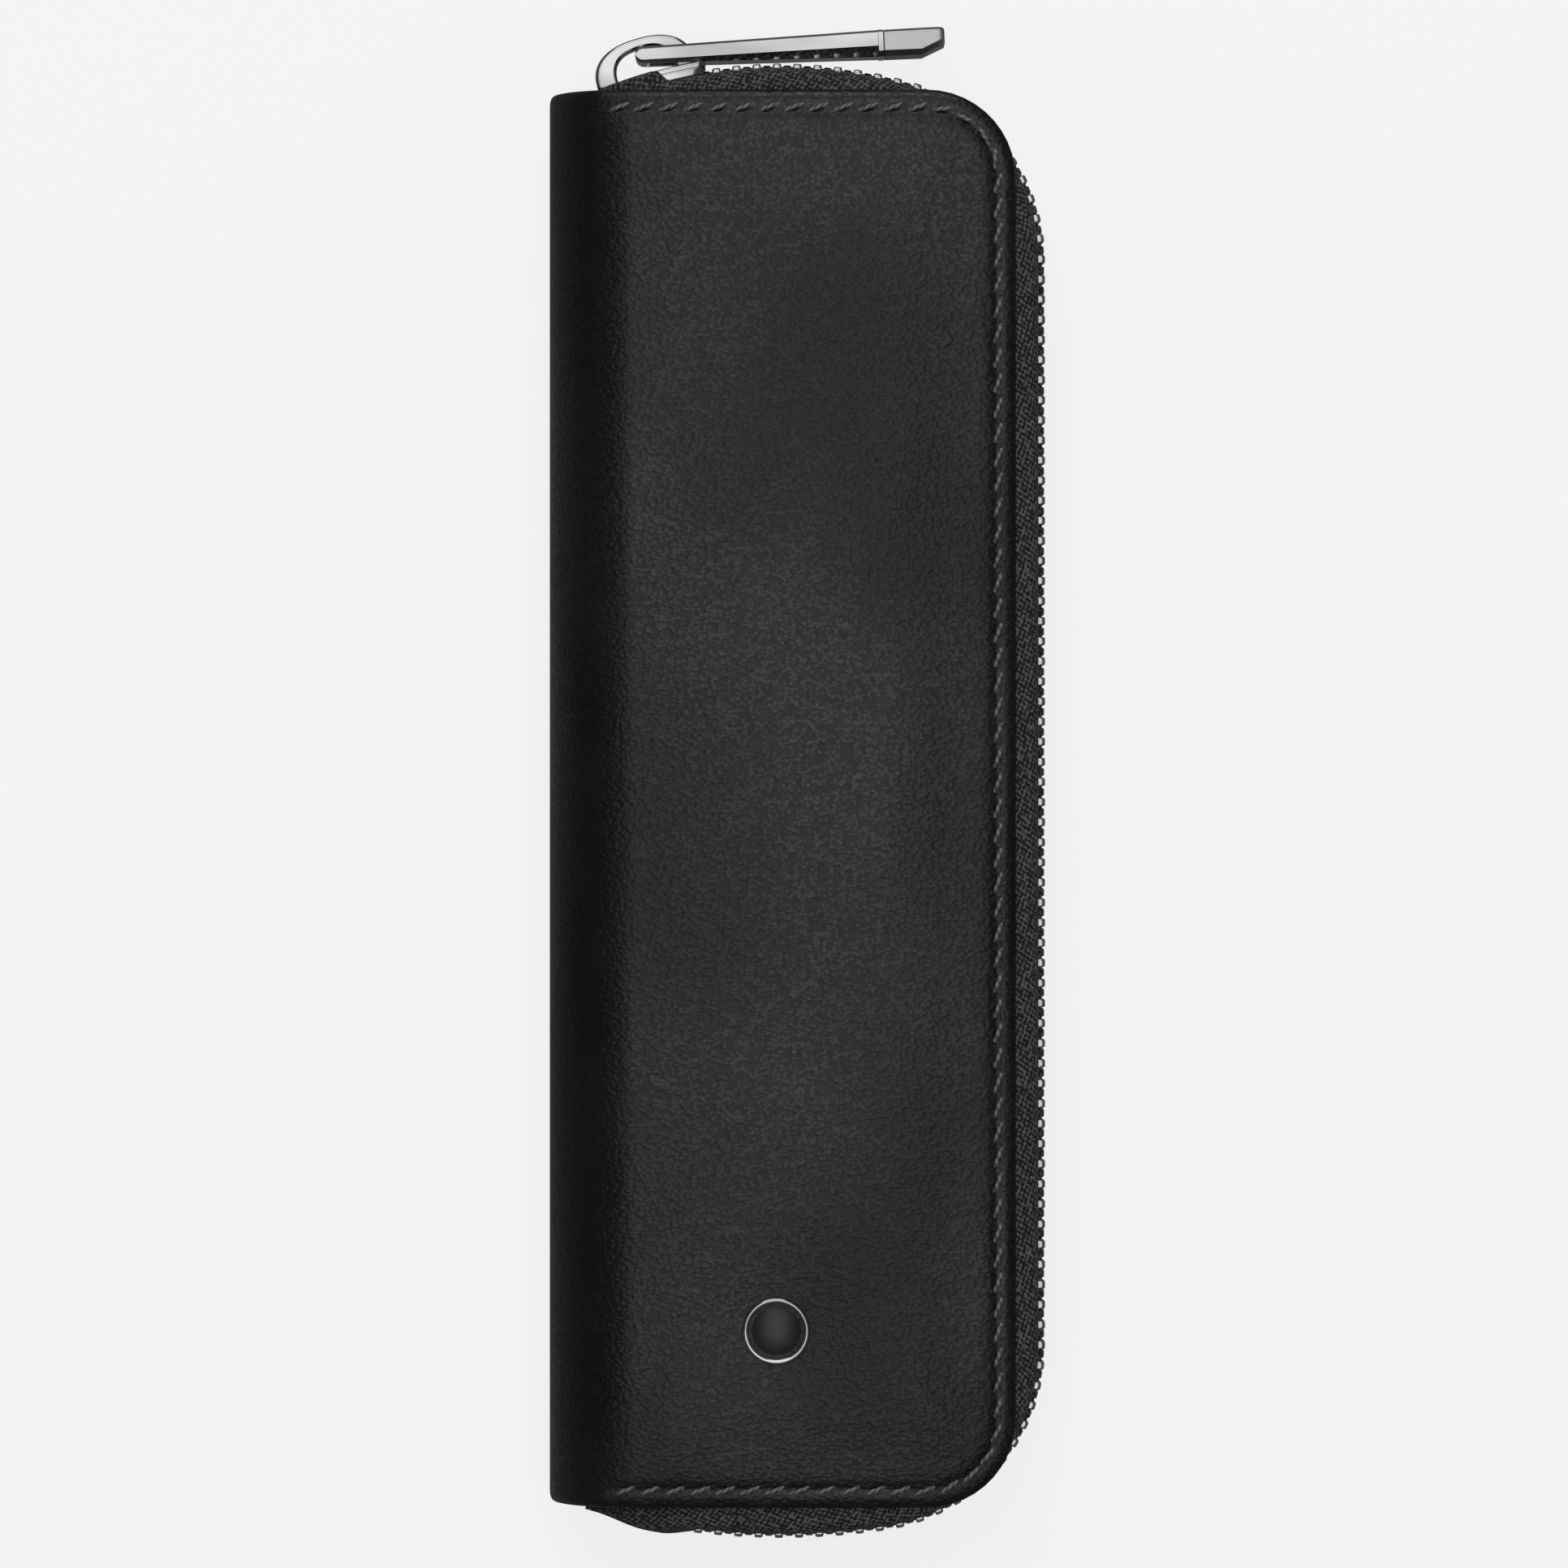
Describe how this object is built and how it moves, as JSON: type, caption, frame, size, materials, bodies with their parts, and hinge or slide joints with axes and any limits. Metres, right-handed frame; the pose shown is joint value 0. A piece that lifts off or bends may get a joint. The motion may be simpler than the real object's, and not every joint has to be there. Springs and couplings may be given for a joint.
{
  "type": "zip-around fountain pen case",
  "caption": "Slim black leather pen case with a round spine, a metal zip round three sides, and elastic pen loops inside.",
  "frame": {"origin": "middle of the leather on the outer face of the back cover, which the case lies on", "axes": "+X from the spine to the zip, +Y to the end where the slider parks, +Z out of the front cover"},
  "size_m": [0.056, 0.1706, 0.021],
  "materials": {
    "leather": "smooth black, fine grain",
    "board": "plain grey-brown board",
    "lining": "black woven lining",
    "tape": "black woven zip tape",
    "teeth": "bright nickel plate",
    "polished_metal": "polished nickel plate",
    "satin_metal": "satin",
    "stud_face": "dark satin disc",
    "elastic": "black ribbed elastic"
  },
  "bodies": {
    "back": {"back_cover_leather": "leather", "back_cover_board": "board", "back_cover_lining": "lining", "back_zip_tape": "tape", "back_zip_teeth": "teeth", "back_zip_teeth_top_run": "teeth", "back_top_stop": "teeth", "bottom_stop": "teeth", "pen_loop_patch": "leather", "pen_loop_left": "elastic", "pen_loop_right": "elastic"},
    "spine_back": {"spine_back_leather": "leather", "spine_back_stiffener": "board", "spine_back_lining": "lining"},
    "spine_front": {"spine_front_leather": "leather", "spine_front_stiffener": "board", "spine_front_lining": "lining"},
    "front": {"front_cover_leather": "leather", "front_cover_board": "board", "front_cover_lining": "lining", "front_zip_tape": "tape", "front_zip_tape_ends": "tape", "front_zip_teeth": "teeth", "front_zip_teeth_top_run": "teeth", "front_top_stop": "teeth", "stud_rim": "polished_metal", "stud_disc": "stud_face", "stud_washer": "satin_metal"},
    "slider": {"slider_body": "polished_metal", "slider_bail": "polished_metal"},
    "pull": {"pull_tab": "polished_metal", "pull_grip": "satin_metal"}
  },
  "joints": [
    {"name": "back_fold", "type": "hinge", "parent": "back", "child": "spine_back", "pos_m": [-0.02149, 0, 0.00093], "axis": [0, -1, 0], "range_deg": [0, 60]},
    {"name": "middle_fold", "type": "hinge", "parent": "spine_back", "child": "spine_front", "pos_m": [-0.02672, 0, 0.01], "axis": [0, -1, 0], "range_deg": [0, 60]},
    {"name": "front_fold", "type": "hinge", "parent": "spine_front", "child": "front", "pos_m": [-0.02149, 0, 0.01907], "axis": [0, -1, 0], "range_deg": [0, 60], "deforming": ["front_zip_tape_ends"]},
    {"name": "slider_travel", "type": "hinge", "parent": "back", "child": "slider", "pos_m": [0, 0.0301, 0.01], "axis": [0, 0, -1], "range_deg": [0, 24], "deforming": ["front_zip_teeth_top_run", "back_zip_teeth_top_run"]},
    {"name": "pull_swing", "type": "hinge", "parent": "slider", "child": "pull", "pos_m": [-0.01565, 0.08396, 0.01], "axis": [0, 0, 1], "range_deg": [0, 160]}
  ],
  "couplings": [
    {"joint": "middle_fold", "follows": "back_fold", "ratio": 1},
    {"joint": "front_fold", "follows": "back_fold", "ratio": 1}
  ]
}
